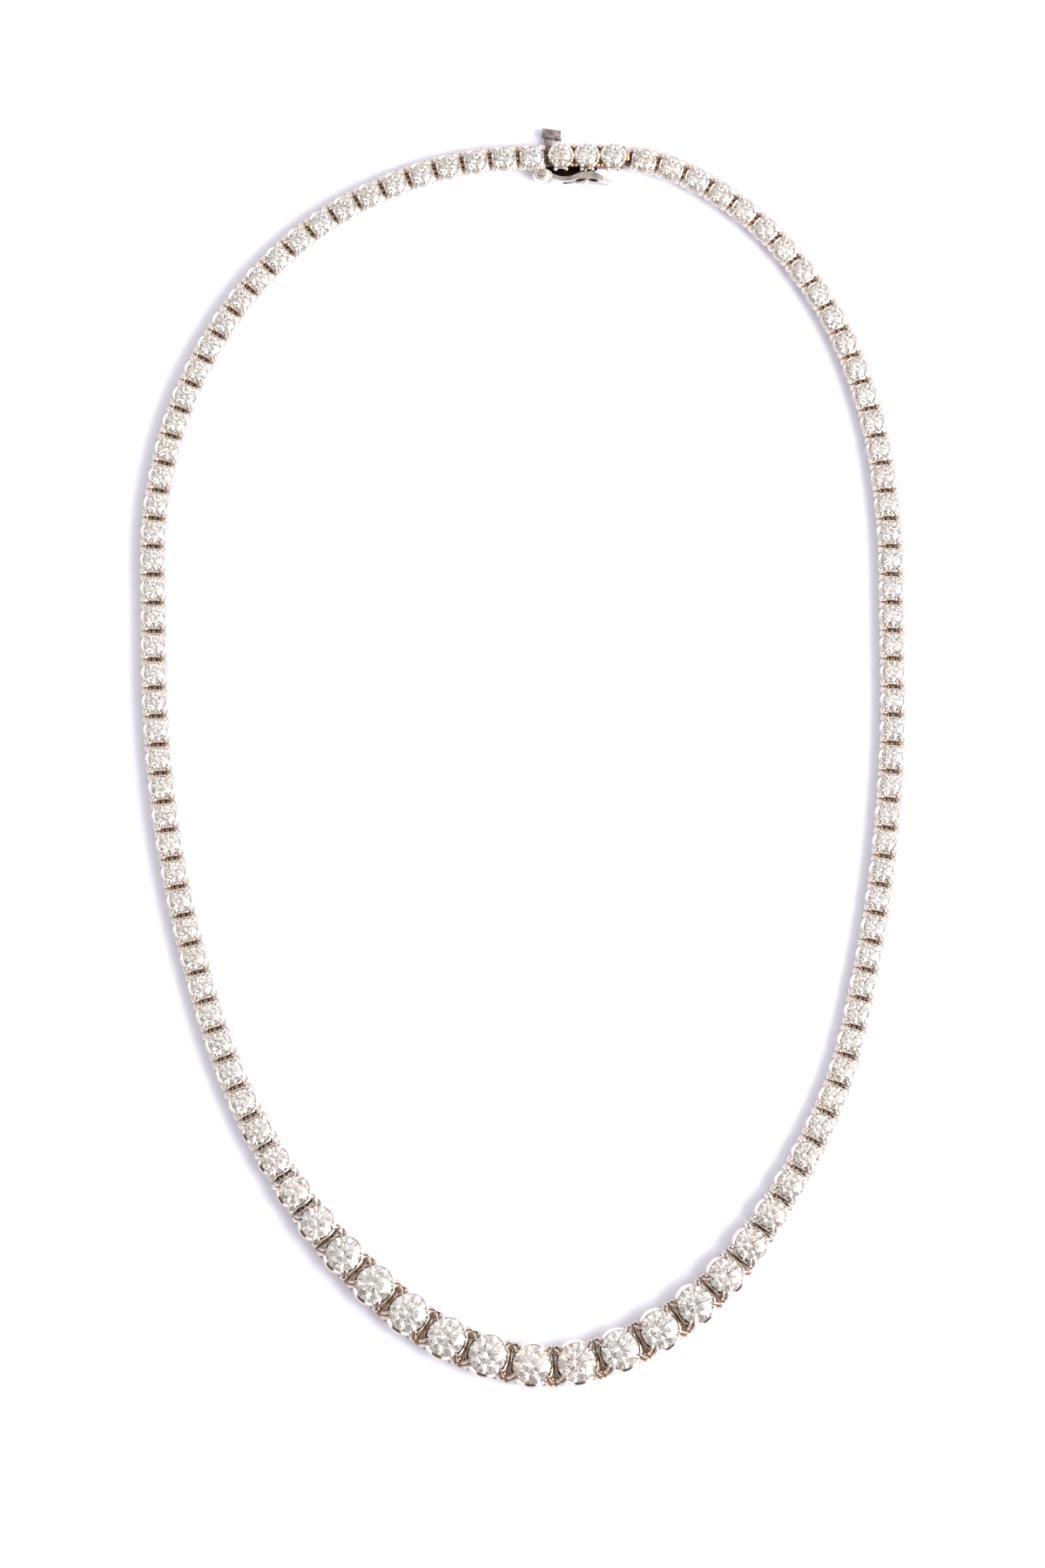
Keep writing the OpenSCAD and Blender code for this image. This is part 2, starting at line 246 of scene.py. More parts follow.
def block(bm, lo, hi, bevel=0.0, turn=None):
    """A block between two opposite corners, with its edges rounded."""
    lo, hi = Vector(map(min, lo, hi)), Vector(map(max, lo, hi))
    place = Matrix.Translation((lo + hi) / 2) @ Matrix.Diagonal((hi - lo).to_4d())
    place[3][3] = 1
    if turn is not None:
        middle = Matrix.Translation((lo + hi) / 2)
        place = middle @ turn @ middle.inverted() @ place
    made = bmesh.ops.create_cube(bm, size=1, matrix=place)
    if bevel:
        round_edges(bm, edges_at(made["verts"]), bevel)


def rod(bm, at, way, radius, length, sides=16, bevel=0.0):
    """A round rod with its middle at a point, along a direction."""
    turn = Vector(way).to_track_quat("Z", "Y").to_matrix().to_4x4()
    made = bmesh.ops.create_cone(bm, cap_ends=True, segments=sides, radius1=radius, radius2=radius, depth=length,
                                 matrix=Matrix.Translation(at) @ turn)
    if bevel:
        round_edges(bm, [e for e in edges_at(made["verts"]) if any(len(f.verts) > 4 for f in e.link_faces)], bevel)


def bead(bm, at, radius, steps=10):
    """A small round bead."""
    bmesh.ops.create_uvsphere(bm, u_segments=steps, v_segments=max(6, steps - 2), radius=radius,
                              matrix=Matrix.Translation(at))


def take(bm, other):
    """Adds another mesh to this one and frees it."""
    mesh = bpy.data.meshes.new("part")
    other.to_mesh(mesh)
    other.free()
    bm.from_mesh(mesh)
    bpy.data.meshes.remove(mesh)


def add_at(bm, part, place):
    """Moves a part from its own frame to its place and adds it."""
    bmesh.ops.transform(part, matrix=place, verts=part.verts)
    take(bm, part)


def shaded_mesh():
    """An empty mesh whose points can carry painted shade."""
    bm = bmesh.new()
    bm.verts.layers.float.new("painted_shade")
    return bm


def face_out(bm):
    """Turns every face outwards."""
    bmesh.ops.recalc_face_normals(bm, faces=bm.faces)


def flat_station(at, wide, tall):
    """A station at a point, scaled across the way of travel alone."""
    return Matrix.Translation(at) @ Matrix.Diagonal((1, wide, tall, 1))


def add_shaded(bm, shade, make, *values):
    """Makes a part with a shape function, writes its painted shade, a number or a rule for each point, and adds it."""
    part = shaded_mesh()
    make(part, *values)
    layer = part.verts.layers.float["painted_shade"]
    for v in part.verts:
        v[layer] = shade(v.co) if callable(shade) else shade
    take(bm, part)


# Sizes of a setting for a stone of diameter d. The shade of its gold, in a float attribute of its points, is painted
# shade and reflected light:
# up to 0.15 where it is polished, 0.6 for the greyer gold of the shaded claws, 1 for the warm gold of shade and
# reflection in the joints and 2 for the dark gold of deep shade

def foot_radius(d):
    return 0.24 + 0.3 * d


def foot_top(d):
    return 0.72 + 0.05 * d


def girdle_height(d, culet):
    return culet + bpy.context.scene.necklace_stones.pavilion * d


def rim_radius(d):
    return d / 2 + 0.37 + 0.035 * d


def rim_wire(d):
    return 0.09 + 0.013 * d


def rim_height(d, girdle):
    return foot_top(d) + 0.6 * (girdle - foot_top(d))


def stem_radius(d):
    return 0.645 + 0.58 * d


def claw_radius(d):
    return 0.09 + 0.04 * d


def closeness(d):
    """How far the corners of a setting are filled: 1 on the small settings of the sides, 0 on the largest."""
    return max(0, min(1, (4.3 - d) / 0.9))


def paleness(d):
    """How much paler the gaps and corners of the middle sizes are: 1 near 3.9 mm, 0 on the largest."""
    return max(0, min(1, 1.25 - abs(d - 3.9) / 0.9))


# Half of the turn that the dark crescent, a painted shadow, on the outer side of a collar takes up, and its shade
CRESCENT_TURN = 0.27
CRESCENT_SHADOW = 3
# The turn of each claw of a pair round the stone, at its stem and at its tip
CLAW_TURNS = [(math.radians(38), math.radians(35)), (math.radians(47), math.radians(50))]
CLAW_THICKNESS = (0.7, 0.9, 1, 1, 0.9, 0.65, 0.3)


def add_basket(bm, d, half, girdle, steps, crescent):
    """The foot with its windows, the bowl above it, and the rim wire that runs round under the stone."""
    foot, top = foot_radius(d), foot_top(d)
    wire, rim = rim_wire(d), rim_radius(d)
    rim_z = rim_height(d, girdle)
    part = bmesh.new()
    levels = [(foot, 0), (foot, 0.28), (foot, top - 0.14), (foot + 0.06, top - 0.02),
              (rim - 0.45, top + 0.2 * (rim_z - top)), (rim - 0.14, top + 0.6 * (rim_z - top)), (rim - 0.06, rim_z)]
    revolve(part, levels, steps)
    windows = []
    for f in part.faces:
        c = f.calc_center_median()
        if 0.28 < c.z < top - 0.14 and abs(c.y) > 0.86 * c.xy.length:
            windows.append(f)
    bmesh.ops.delete(part, geom=windows, context="FACES")
    face_out(part)
    bmesh.ops.solidify(part, geom=part.faces, thickness=0.13 + 0.02 * d)
    wire_ring(part, rim - wire, wire, rim_z, steps)
    edge = girdle - 0.05
    outside = 0.5 * (d / 2 + rim)

    # The dark crescent on the outer side of the collar is a painted shadow of the rim
    def crescents(co):
        outward = abs(math.atan2(co.x, -co.y)) < CRESCENT_TURN
        return CRESCENT_SHADOW if crescent and outward and d / 2 + 0.1 < co.xy.length < outside + 0.03 else 0

    collar = [(d / 2 + 0.04, edge), (d / 2 + 0.14, edge + 0.02), (outside, 0.6 * edge + 0.4 * rim_z),
              (rim - 0.13, 0.2 * edge + 0.8 * rim_z), (rim - 0.04, rim_z), (rim - 0.3, rim_z - 0.1),
              (d / 2 + 0.04, edge - 0.15)]
    add_shaded(part, crescents, revolve, collar, steps, True)
    close = closeness(d)
    squeeze = min(1, (half - 0.1 - 0.1 * close) / rim)
    bmesh.ops.scale(part, vec=(squeeze, 1, 1), verts=part.verts)
    high = girdle - 0.1 - 0.35 * (1 - close)
    less = 1 - 0.55 * paleness(d)
    dark = max(close, paleness(d))
    for ahead in (-1, 1):
        # The bar across the end of the cup, and the base plate that reaches under the gap, dark with painted shade so
        # that the gap reads as shadow
        bar = half - 0.1 - 0.12 * dark
        block(part, (ahead * bar, -0.36 * d, top),
              (ahead * (bar - 0.14 - 0.03 * d), 0.36 * d, top + 0.2 + 0.04 * d), 0.05)
        far = ahead * half + (0.07 if ahead > 0 else 0.12)
        wide = (0.5 - 0.2 * close) * d
        add_shaded(part, 1.5, block, (far, -wide, 0.04), (ahead * (foot - 0.2), wide, 0.16), 0.03)
        # The filled corners, with a bead of metal on each of the larger ones, all greyed with painted shade that
        # changes with height and size
        for across in (-1, 1):
            corner = [Vector((ahead * x, across * y, 0)) for x, y in
                      ((half - 0.02, 0.3 * d), (half - 0.02, (0.6 + 0.24 * close) * rim),
                       (half - 0.3, (0.68 + 0.27 * close) * rim), (0.5 * half, (0.75 + 0.22 * close) * rim),
                       (0.35 * d, 0.35 * d))]
            middle = sum(corner, Vector()) / len(corner)
            corner = [c - middle for c in corner]
            stations = [Matrix.Translation(middle + Vector((0, 0, z))) @ Matrix.Diagonal((s, s, 1, 1))
                        for s, z in ((0.8, top), (1, top + 0.3), (1, high - 0.22), (0.94, high - 0.07), (0.78, high))]
            if close < 0.6:
                add_shaded(part, 0.3, bead, (ahead * (half - 0.3), across * 0.49 * d, top + 0.75), 0.26)
            add_shaded(part, lambda co: less * (0.85 - 0.6 * close if co.z > high - 0.25 else 0.7 - 0.35 * close),
                       carry, corner, stations)
        # A low dark plate in the slit between the settings: painted shade
        add_shaded(part, 1.3 + 0.7 * dark, block, (far, -0.33 * d, top - 0.1),
                   (ahead * (half - 0.3 - 0.1 * close), 0.33 * d, top), 0.03)
    take(bm, part)


def add_claws(bm, d, girdle):
    """A forked claw at each corner: its stem rises outside the rim, and both arms close over the stone's edge."""
    top = foot_top(d)
    r = claw_radius(d)
    stem, rim_z = stem_radius(d), rim_height(d, girdle)
    low = top + 0.12 * (rim_z - top)
    outline = round_outline(7)
    # The claws' gold is greyed with painted shade, most on the largest settings and least where the gaps are paler
    shade = 0.2 + 0.35 * (1 - closeness(d)) * (1 - 0.7 * paleness(d))
    # Share of the way from the stem's turn to the tip's, distance from the middle, and height
    stages = ((0, foot_radius(d) - 0.05, top - 0.15),
              (0, stem - r - 0.25, low),
              (0.1, stem - r, low + 0.4),
              (0.4, 0.6 * stem + 0.4 * (d / 2 + r), 0.4 * low + 0.6 * girdle),
              (0.75, d / 2 + 0.7 * r, girdle + 0.02 * d + 0.15 * r),
              (1, d / 2 - 0.1 * r, girdle + 0.05 * d + 0.3 * r),
              (1, d / 2 - 0.9 * r, girdle + 0.065 * d + 0.2 * r))
    for across in (-1, 1):
        for ahead in (-1, 1):
            for stem_turn, tip_turn in CLAW_TURNS:
                path = []
                for share, away, z in stages:
                    a = stem_turn + (tip_turn - stem_turn) * share
                    path.append(Vector((ahead * away * math.cos(a), across * away * math.sin(a), z)))
                add_shaded(bm, shade, carry, outline, along(path, [share * r for share in CLAW_THICKNESS]))


def add_tongue(bm, d, p):
    """The bar and the eye that go round the next setting's pin."""
    reach = p.length
    part = bmesh.new()
    block(part, (foot_radius(d) - 0.3, -0.3, HINGE_Z - 0.17), (reach - 0.3, 0.3, HINGE_Z + 0.17), 0.05)
    revolve_eye(part, Vector((reach, 0, HINGE_Z)), 0.25, 0.4, 0.6)
    add_at(bm, part, Matrix.Rotation(math.atan2(p.y, p.x), 4, "Z"))


def revolve_eye(bm, at, inner, outer, width):
    """A ring of rectangular section with its axis across the link."""
    part = bmesh.new()
    revolve(part, [(inner, -width / 2), (outer - 0.06, -width / 2), (outer, 0.06 - width / 2),
                   (outer, width / 2 - 0.06), (outer - 0.06, width / 2), (inner, width / 2)], 16, closed=True)
    add_at(bm, part, Matrix.Translation(at) @ Matrix.Rotation(math.pi / 2, 4, "X"))


def add_fork(bm, start, p):
    """Two lugs with the pin across them, and the pin's rounded ends."""
    reach = p.length
    part = bmesh.new()
    for side in (-1, 1):
        y = side * 0.64
        block(part, (start, y - 0.12, HINGE_Z - 0.23), (reach, y + 0.12, HINGE_Z + 0.23), 0.05)
        rod(part, (reach, y, HINGE_Z), (0, 1, 0), 0.4, 0.24, 16, 0.05)
        bead(part, (reach, side * 0.78, HINGE_Z), 0.19, 8)
    rod(part, (reach, 0, HINGE_Z), (0, 1, 0), 0.15, 1.5, 10)
    add_at(bm, part, Matrix.Rotation(math.atan2(p.y, p.x), 4, "Z"))


def half_pitch(seat):
    """Half of the distance to the nearer neighbour."""
    return min(seat.ahead.length, seat.behind.length)


def seat_place(seat):
    """Where a setting's own frame stands."""
    return Matrix.Translation((seat.x, seat.y, 0)) @ Matrix.Rotation(seat.turn, 4, "Z")


def paint_gap_shade(bm, d, half):
    """Paints shade and warm reflected light into the gold at each point: most in the gap between two settings and on
    faces that turn towards it.
    """
    layer = bm.verts.layers.float["painted_shade"]
    close = closeness(d)
    bm.normal_update()
    for v in bm.verts:
        near = min(1.6, (abs(v.co.x) - half + 0.3 + 0.06 * close - 0.26 * paleness(d)) / 0.12)
        wide = (close * max(0.08, min(1, (0.36 * d + 0.1 - abs(v.co.y)) / 0.25))
                + (1 - close) * (1.35 - abs(v.co.y) / half * 0.6))
        sideways = max(0, v.normal.x * (1 if v.co.x > 0 else -1))
        v[layer] = max(v[layer], 0.12, min(1.2 + 0.4 * close, near * wide * (0.75 + 0.5 * sideways)))


def follow_bend(bm, seat, half):
    """Opens the outer side of a setting's ends and closes the inner side, as the strand bends."""
    for v in bm.verts:
        end = seat.ahead if v.co.x > 0 else Vector((-seat.behind.x, seat.behind.y))
        v.co.x *= 1 - v.co.y * (end.y / end.x) * abs(v.co.x) / half ** 2


def link_mesh(seat, steps, fork=True):
    """A whole setting with its stone's claws and its half of both hinges, in its own frame."""
    bm = shaded_mesh()
    half, d = half_pitch(seat), seat.d
    girdle = girdle_height(d, seat.culet)
    # Painted shadow crescents go on the larger settings, and on the left, away from the lamp, on smaller ones too
    add_basket(bm, d, half, girdle, steps, d > (3.3 if seat.x < 0 else 4.5))
    add_claws(bm, d, girdle)
    follow_bend(bm, seat, half)
    add_tongue(bm, d, seat.ahead)
    if fork:
        add_fork(bm, foot_radius(d) - 0.3, seat.behind)
    face_out(bm)
    paint_gap_shade(bm, d, half)
    return bm


def finish_piece(name, bm, materials, body, replaced, sharp=35):
    """Turns a mesh in millimetres into a piece in metres that rides on a body and stands for CAD nodes."""
    bmesh.ops.transform(bm, matrix=Matrix.Scale(MM, 4), verts=bm.verts)
    limit = math.radians(sharp)
    for f in bm.faces:
        f.smooth = True
    for e in bm.edges:
        e.smooth = len(e.link_faces) == 2 and e.calc_face_angle(0) < limit
    mesh = bpy.data.meshes.new(name)
    bm.to_mesh(mesh)
    bm.free()
    for m in materials:
        mesh.materials.append(m)
    piece = bpy.data.objects.new(name, mesh)
    bpy.context.scene.collection.objects.link(piece)
    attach(piece, body)
    if replaced:
        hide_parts(*replaced)
    return piece


# Materials. How fine each noise is: the patches and the grain of the polished gold, those of the other golds, the
# clouds of tint in the stones, and the floor's grain

GOLD_PATCHES = 700
POLISH_GRAIN = 5200
PLAIN_PATCHES = 900
PLAIN_GRAIN = 4800
TINT_CLOUDS = 450
FLOOR_GRAIN = 40


def set_inputs(tree, node, values):
    """Gives a node's inputs their values: numbers, colours or the outputs of other nodes."""
    for name, value in values.items():
        if isinstance(value, bpy.types.NodeSocket):
            tree.links.new(value, node.inputs[name])
        else:
            node.inputs[name].default_value = value


def add_node(tree, kind, output, values, **settings):
    """Makes a node with its settings and values, and gives back one of its outputs."""
    node = tree.nodes.new("ShaderNode" + kind)
    for name, value in settings.items():
        setattr(node, name, value)
    set_inputs(tree, node, values)
    return node.outputs[output]


def new_material(name):
    """An empty node material with its node tree, its surface shader and Object coordinates."""
    material = bpy.data.materials.new(name)
    material.use_nodes = True
    tree = material.node_tree
    return material, tree, tree.nodes["Principled BSDF"], add_node(tree, "TexCoord", "Object", {})


def add_noise(tree, where, scale, detail=2.0):
    """Soft patches, mostly between 0.3 and 0.7."""
    return add_node(tree, "TexNoise", "Fac", {"Vector": where, "Scale": scale, "Detail": detail})


def add_range(tree, source, low, high, from_low=0.3, from_high=0.7):
    """Spreads a value from one range to another."""
    return add_node(tree, "MapRange", "Result", {"Value": source, "From Min": from_low, "From Max": from_high,
                                                 "To Min": low, "To Max": high})


def add_mix(tree, factor, *colours):
    """A mix of two colours, each a colour or the output of a node."""
    first, second = [c if isinstance(c, bpy.types.NodeSocket) else (*c, 1) for c in colours]
    return add_node(tree, "Mix", "Result", {"Factor": factor, "A": first, "B": second}, data_type="RGBA")


def add_fade(tree, source, first, second, from_low=0.3, from_high=0.7):
    """From the first colour to the second as a value rises from one level to another."""
    return add_mix(tree, add_range(tree, source, 0, 1, from_low, from_high), first, second)


def add_math(tree, operation, first, second):
    """A sum or product of a value and another value or a number."""
    return add_node(tree, "Math", "Value", {0: first, 1: second}, operation=operation)


def add_bump(tree, height, distance, strength):
    """The direction in which a surface faces where a value makes it bumpy."""
    return add_node(tree, "Bump", "Normal", {"Height": height, "Distance": distance, "Strength": strength})


def toned(colour, tone):
    """A colour with each channel scaled by its share of a tone."""
    return [c * f for c, f in zip(colour, tone)]


def settings_gold():
    """Polished white gold that turns to dark, warm gold where shade and reflected light are painted: in the joints and
    inside the settings.
    """
    finish = bpy.context.scene.necklace_metal
    material, tree, shader, where = new_material("white_gold_settings")
    painted_shade = add_node(tree, "Attribute", "Fac", {}, attribute_name="painted_shade")
    colour = add_fade(tree, add_noise(tree, where, GOLD_PATCHES), finish.polish,
                      toned(finish.polish, (0.97, 0.93, 0.92)))
    # Greyer gold for shaded claws, warm gold for shade and reflected light in the joints, dark gold for deep shadow
    for low, high, deeper in ((0.15, 0.6, finish.claws), (0.6, 1, finish.gap_shade), (1, 2, finish.dark)):
        colour = add_fade(tree, painted_shade, colour, deeper, low, high)
    fine = add_noise(tree, where, POLISH_GRAIN, 3)
    rough = add_math(tree, "ADD", add_range(tree, fine, finish.rough * 0.7, finish.rough * 1.5),
                     add_range(tree, painted_shade, 0, 0.07, 0.3, 1))
    set_inputs(tree, shader, {"Metallic": 1, "Base Color": colour, "Roughness": rough,
                              "Normal": add_bump(tree, fine, 0.00004, 0.25)})
    return material


def plain_gold(name, colour, rough, scale=PLAIN_PATCHES, streaks=None, depth=0.00003, shade=0.82):
    """A gold with soft patches of colour, and brushed streaks along one direction where asked."""
    material, tree, shader, where = new_material(name)
    patches = add_fade(tree, add_noise(tree, where, scale), colour, [c * shade for c in colour])
    if streaks:
        where = add_node(tree, "Mapping", "Vector", {"Vector": where, "Scale": streaks})
    fine = add_noise(tree, where, PLAIN_GRAIN, 3)
    set_inputs(tree, shader, {"Metallic": 1, "Base Color": patches,
                              "Roughness": add_range(tree, fine, rough * 0.7, rough * 1.4),
                              "Normal": add_bump(tree, fine, depth, 0.4)})
    return material


def diamond(name, colour):
    """Clear diamond with faint clouds of tint."""
    material, tree, shader, where = new_material(name)
    clouds = add_fade(tree, add_noise(tree, where, TINT_CLOUDS), colour, [c * 0.97 for c in colour])
    set_inputs(tree, shader, {"Base Color": clouds, "Roughness": 0.0, "IOR": 2.42, "Transmission Weight": 1.0})
    return material


def gold():
    """The gold of all settings, made once."""
    return bpy.data.materials.get("white_gold_settings") or settings_gold()


def brushed_gold():
    """The brushed gold of the catch's top and its pin's head, made once."""
    colour = bpy.context.scene.necklace_metal.brushed
    return (bpy.data.materials.get("brushed_gold")
            or plain_gold("brushed_gold", colour, 0.3, GOLD_PATCHES, (0.12, 1, 1), shade=0.42))


# Operators

class NECKLACE_OT_front_settings(bpy.types.Operator):
    """Makes the 19 largest settings, round the middle of the front"""

    bl_idname = "necklace.front_settings"
    bl_label = "Front settings"

    def execute(self, context):
        for i in range(MAIN):
            seat = SEATS[FRONT_FROM + i]
            bm = shaded_mesh()
            add_at(bm, link_mesh(seat, MAIN_STEPS), seat_place(seat))
            finish_piece(f"setting_{i + 1}", bm, [gold()], METAL_BODY, [f"main_link_{i + 1}"])
        return {"FINISHED"}


class NECKLACE_OT_side_settings(bpy.types.Operator):
    """Makes the strings of small settings on both sides"""

    bl_idname = "necklace.side_settings"
    bl_label = "Side settings"

    def execute(self, context):
        sides = {"left": SEATS[1:FRONT_FROM], "right": SEATS[FRONT_FROM + MAIN:BOX_FROM]}
        for side, seats in sides.items():
            bm = shaded_mesh()
            for seat in seats:
                add_at(bm, link_mesh(seat, SIDE_STEPS), seat_place(seat))
            finish_piece(f"settings_{side}", bm, [gold()], METAL_BODY, [f"chain_{side}"])
        return {"FINISHED"}


# Where the stars' points and the lower facets' ends lie, as shares of the stone's radius
STAR_POINTS = 0.77
LOWER_ENDS = 0.24


def brilliant(bm, d, culet, place):
    """A round brilliant: the hull of its table, stars, girdle and lower facets, and its culet."""
    cut = bpy.context.scene.necklace_stones
    r = d / 2
    girdle = culet + cut.pavilion * d
    star = STAR_POINTS * r
    star_z = cut.crown * d * (r - star * math.cos(math.pi / 8)) / (r - r * cut.table)
    low = LOWER_ENDS * r
    low_z = cut.pavilion * d * (low * math.cos(math.pi / 8) / r - 1)
    thick = cut.girdle * d
    rings = [(8, r * cut.table, thick + cut.crown * d, 0), (8, star, thick + star_z, 22.5), (16, r, thick, 0),
             (16, r, 0, 0), (8, low, low_z, 22.5)]
    part = bmesh.new()
    for count, radius, z, turn in rings:
        at = Matrix.Translation((0, 0, girdle + z)) @ Matrix.Rotation(math.radians(turn), 4, "Z")
        bmesh.ops.create_circle(part, segments=count, radius=radius, matrix=at)
    bmesh.ops.delete(part, geom=part.edges[:], context="EDGES_FACES")
    part.verts.new((0, 0, culet))
    bmesh.ops.convex_hull(part, input=part.verts[:])
    bmesh.ops.dissolve_limit(part, angle_limit=math.radians(0.4), verts=part.verts[:], edges=part.edges[:])
    face_out(part)
    add_at(bm, part, place)


class NECKLACE_OT_stones(bpy.types.Operator):
    """Cuts every diamond and sets it in its place, each turned its own way"""

    bl_idname = "necklace.stones"
    bl_label = "Stones"

    def execute(self, context):
        cut = context.scene.necklace_stones
        tints = [diamond("diamond_white", cut.white), diamond("diamond_warm", cut.warm),
                 diamond("diamond_cool", cut.cool)]
        chance = random.Random(11)
        groups = {"stones_left": SEATS[:FRONT_FROM], "stones_right": SEATS[FRONT_FROM + MAIN:BOX_FROM],
                  "clasp_stones": SEATS[BOX_FROM:]}
        groups.update({f"main_stone_{i + 1}": [SEATS[FRONT_FROM + i]] for i in range(MAIN)})
        for node, seats in groups.items():
            bm = bmesh.new()
            for seat in seats:
                turn = chance.uniform(0, math.pi / 4)
                lean = Matrix.Rotation(chance.uniform(0, cut.tilt) * (-1 if node == "clasp_stones" else 1), 4,
                                       Vector((chance.uniform(-1, 1), chance.uniform(-1, 1), 0)))
                middle = Matrix.Translation((0, 0, girdle_height(seat.d, seat.culet)))
                place = seat_place(seat) @ middle @ lean @ middle.inverted() @ Matrix.Rotation(turn, 4, "Z")
                before = len(bm.faces)
                brilliant(bm, seat.d, seat.culet, place)
                tint = chance.choice((0, 0, 0, 2, 2) if node == "clasp_stones" else (0, 0, 1, 1, 2))
                bm.faces.ensure_lookup_table()
                for f in bm.faces[before:]:
                    f.material_index = tint
            name = node.replace("main_stone", "diamond").replace("stones", "diamonds")
            finish_piece(name, bm, tints, METAL_BODY, [node], sharp=0)
        return {"FINISHED"}


# The clasp, in a frame with its middle stone at the origin and +X towards the tongue

BOX_END = 5.2
BOX_HALF = 1.45
BOX_TOP = 1.3
BOX_WALL = 0.16
BOX_DEPTH = 5.5
CLASP_PITCH = (Vector((SEATS[-1].x, SEATS[-1].y)) - Vector((CLASP.x, CLASP.y))).length
BALL = Vector((0.2, 3.5, 1.08))
HINGE = Vector((6.3, 2.6, 0))
CATCH_LOW = 0.43
CATCH_HIGH = 1.93
# The settings on the box: the cup's radius and height, the steps round it, the beads round the stone, the one
# that the band replaces, and the radius of the larger beads
HEAD_CUP = [(0.02, 0.32), (0.5, 0.32), (0.55, 0.72), (0.95, 0.8), (1.1, 1.1), (1.3, 1.35)]
HEAD_STEPS = 28
HEAD_BEADS = 12
BEAD_AT_BAND = 3
BEAD = 0.34
# The folded tongue: its thickness, the heights of its leaves, half of its width, and of the slot in it
LEAF = 0.12
LEAVES = (0.35, 0.57)
LEAF_HALF = 0.95
SLOT_HALF = 0.74
# The dark plate between box and catch, a sheet of painted shadow: where it starts along the box, and its steps
SHADOW_PLATE_FROM = -1.5
SHADOW_PLATE_STEPS = 25
SHADOW_PLATE_STEP = 0.3
# The safety catch from its hinge to its tip: distance along the box, middle and half of the width of the
# upper strand, and middle of the lower strand
CATCH_WAVE = [(1.0, 2.78, 0.40, 3.25), (1.8, 3.05, 0.37, 3.50), (2.9, 3.32, 0.38, 3.66), (4.1, 3.20, 0.39, 3.68),
              (5.1, 2.85, 0.45, 3.66), (6.2, 2.73, 0.50, 3.74), (7.1, 2.80, 0.48, 3.80), (7.9, 3.04, 0.42, 3.84),
              (8.7, 3.44, 0.36, 3.84), (9.6, 3.78, 0.26, 3.80)]


def along_box(seat):
    """How far along the box a seat lies."""
    return (Matrix.Rotation(-CLASP.turn, 2) @ Vector((seat.x - CLASP.x, seat.y - CLASP.y))).x


def finish_on_clasp(name, bm, materials, replaced=(), body=METAL_BODY):
    """Moves a piece from the clasp's frame to its place and finishes it."""
    bmesh.ops.transform(bm, matrix=seat_place(CLASP), verts=bm.verts)
    finish_piece(name, bm, materials, body, replaced)


def add_clasp_head(bm, x, d, girdle):
    """A setting on the box: cup, rim, collar, beads round the stone, and a band with two more beads."""
    part = bmesh.new()
    layer = part.verts.layers.float.new("painted_shade")
    cup = bmesh.new()
    revolve(cup, HEAD_CUP + [(1.46, girdle - 0.3)], HEAD_STEPS)
    face_out(cup)
    bmesh.ops.solidify(cup, geom=cup.faces, thickness=0.15)
    take(part, cup)
    # Painted shade in the gold, as in the settings: greyer on the cup's upper part, and below on the collar towards
    # the catch, two of the beads, the band and its beads, one side more than the other
    for v in part.verts:
        v[layer] = 0.5 if v.co.z > 1.2 else 0.1
    wire_ring(part, 1.42, 0.12, girdle - 0.3, HEAD_STEPS)
    collar = [(d / 2 + 0.03, girdle - 0.02), (d / 2 + 0.2, girdle), (d / 2 + 0.4, girdle - 0.16),
              (d / 2 + 0.4, girdle - 0.4), (d / 2 + 0.03, girdle - 0.3)]
    add_shaded(part, lambda co: 0.12 + 0.3 * max(0, co.y), revolve, collar, HEAD_STEPS, True)
    for i in range(HEAD_BEADS):
        if i == BEAD_AT_BAND:
            continue
        a = 2 * math.pi * i / HEAD_BEADS
        size = BEAD if i < 7 else 0.27
        at = Vector((math.cos(a), math.sin(a), 0)) * (d / 2 + 0.16) + Vector((0, 0, girdle + size - 0.44))
        add_shaded(part, 0.15 + 0.6 * (i in (1, 5)), bead, at, size)
    for side, shade in ((-1, 0.75), (1, 0.3)):
        add_shaded(part, shade, bead, Vector((side * 0.72, 1.78, BOX_TOP + 0.05)), BEAD)
    add_shaded(part, 0.55, block, (-0.5, 1.2, 0.9), (0.5, 1.85, girdle - 0.25), 0.1)
    add_at(bm, part, Matrix.Translation((x, 0, 0)))


